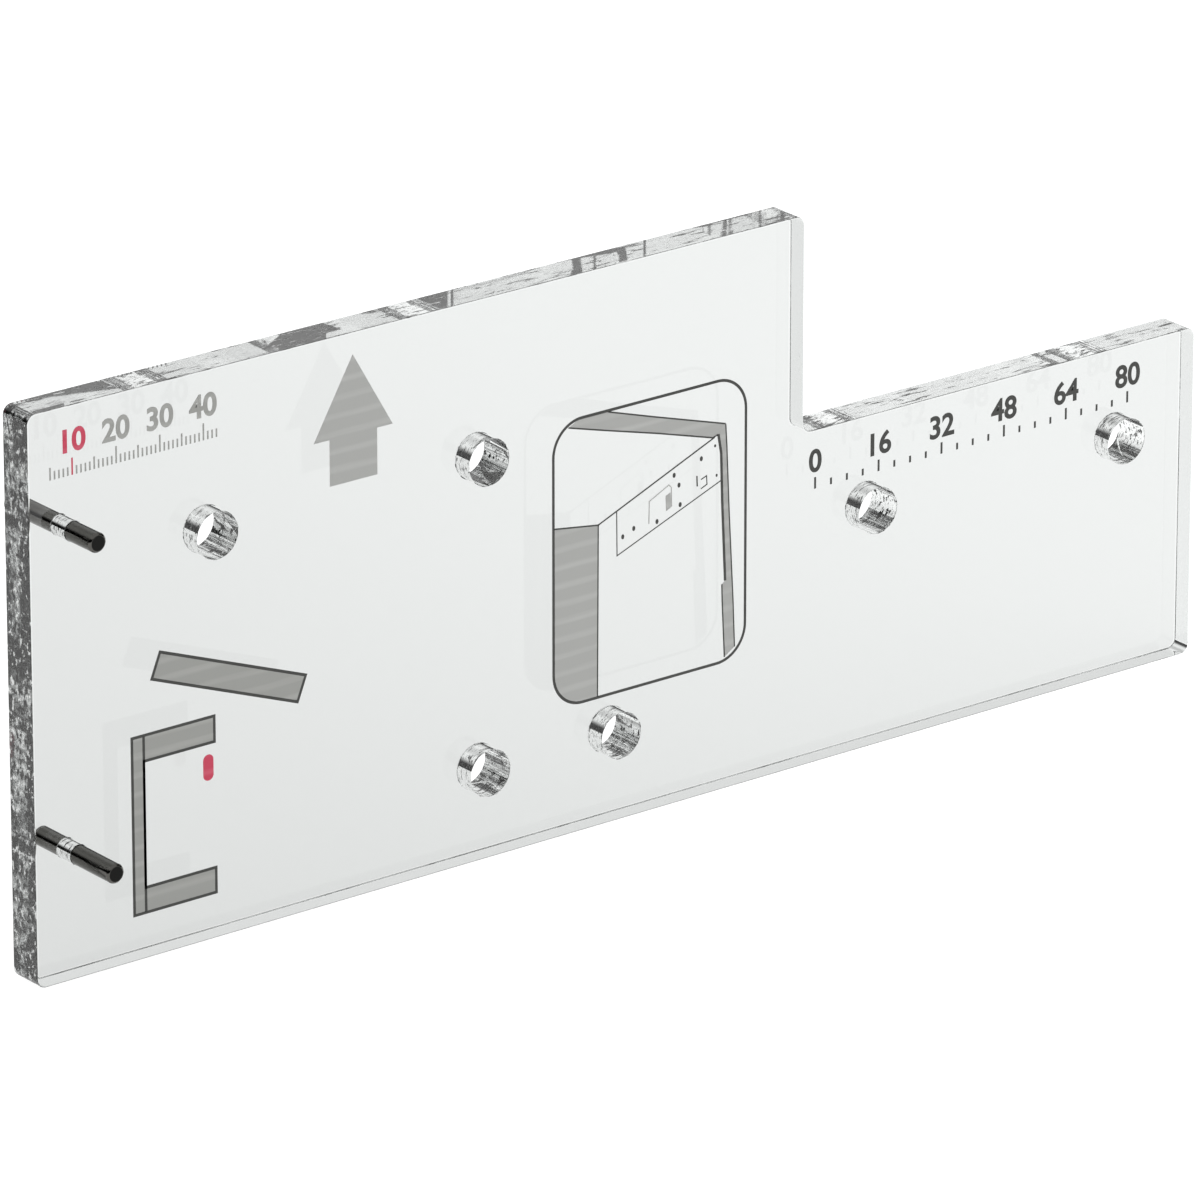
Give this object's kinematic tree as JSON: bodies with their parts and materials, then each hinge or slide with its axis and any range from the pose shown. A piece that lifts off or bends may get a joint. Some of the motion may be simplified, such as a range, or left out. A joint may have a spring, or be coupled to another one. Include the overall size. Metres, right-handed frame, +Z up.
{
  "type": "drilling jig",
  "caption": "Clear L-shaped acrylic drilling jig for cabinet panels, with guide holes on a 32 mm grid and two push-through steel stop pins.",
  "frame": {"origin": "under the middle of the plate, halfway along it and halfway through it, on the surface that its long edge stands on", "axes": "+X along the plate towards its low end, -Y out of its printed front face, +Z up the plate"},
  "size_m": [0.2846, 0.032, 0.115],
  "materials": {
    "clear_acrylic": "clear cast acrylic with polished faces and edges",
    "ground_steel": "ground and polished hardened steel"
  },
  "bodies": {
    "plate": {"jig_plate": "clear_acrylic"},
    "upper_pin": {"upper_stop_pin": "ground_steel"},
    "lower_pin": {"lower_stop_pin": "ground_steel"}
  },
  "joints": [
    {"name": "upper_pin_push", "type": "slide", "parent": "plate", "child": "upper_pin", "axis": [0, 1, 0], "range_m": [-0.012, 0.008]},
    {"name": "lower_pin_push", "type": "slide", "parent": "plate", "child": "lower_pin", "axis": [0, 1, 0], "range_m": [-0.008, 0.012]}
  ]
}
